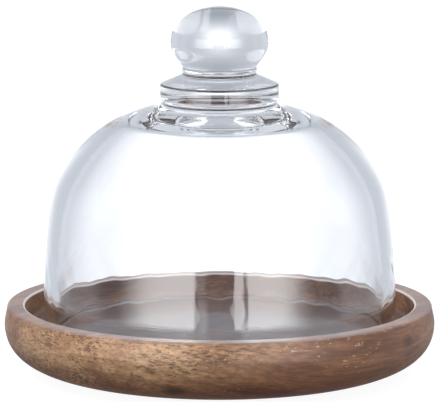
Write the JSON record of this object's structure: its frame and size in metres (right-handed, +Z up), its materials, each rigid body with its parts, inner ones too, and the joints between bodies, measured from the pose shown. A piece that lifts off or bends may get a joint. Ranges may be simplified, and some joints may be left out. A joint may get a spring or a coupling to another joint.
{
  "type": "glass display dome",
  "caption": "Clear glass bell cover with a solid ball knob, standing loose in the recess of a round turned wooden plate, to cover and display small things.",
  "frame": {"origin": "centre of the plate's flat underside", "axes": "+Z up along the turning axis of the plate and the cover; the wood's long grain runs roughly along +X"},
  "size_m": [0.18, 0.18, 0.154],
  "materials": {
    "wood": "clear satin lacquer over brown acacia",
    "glass": "clear, fire polished"
  },
  "bodies": {
    "base": {"wood_plate": "wood"},
    "cover": {"glass_dome": "glass", "glass_collar": "glass", "glass_neck_ring": "glass", "glass_knob": "glass"}
  },
  "joints": [
    {"name": "cover_lift", "type": "slide", "parent": "base", "child": "cover", "axis": [0, 0, 1], "range_m": [0, 0.16]}
  ]
}
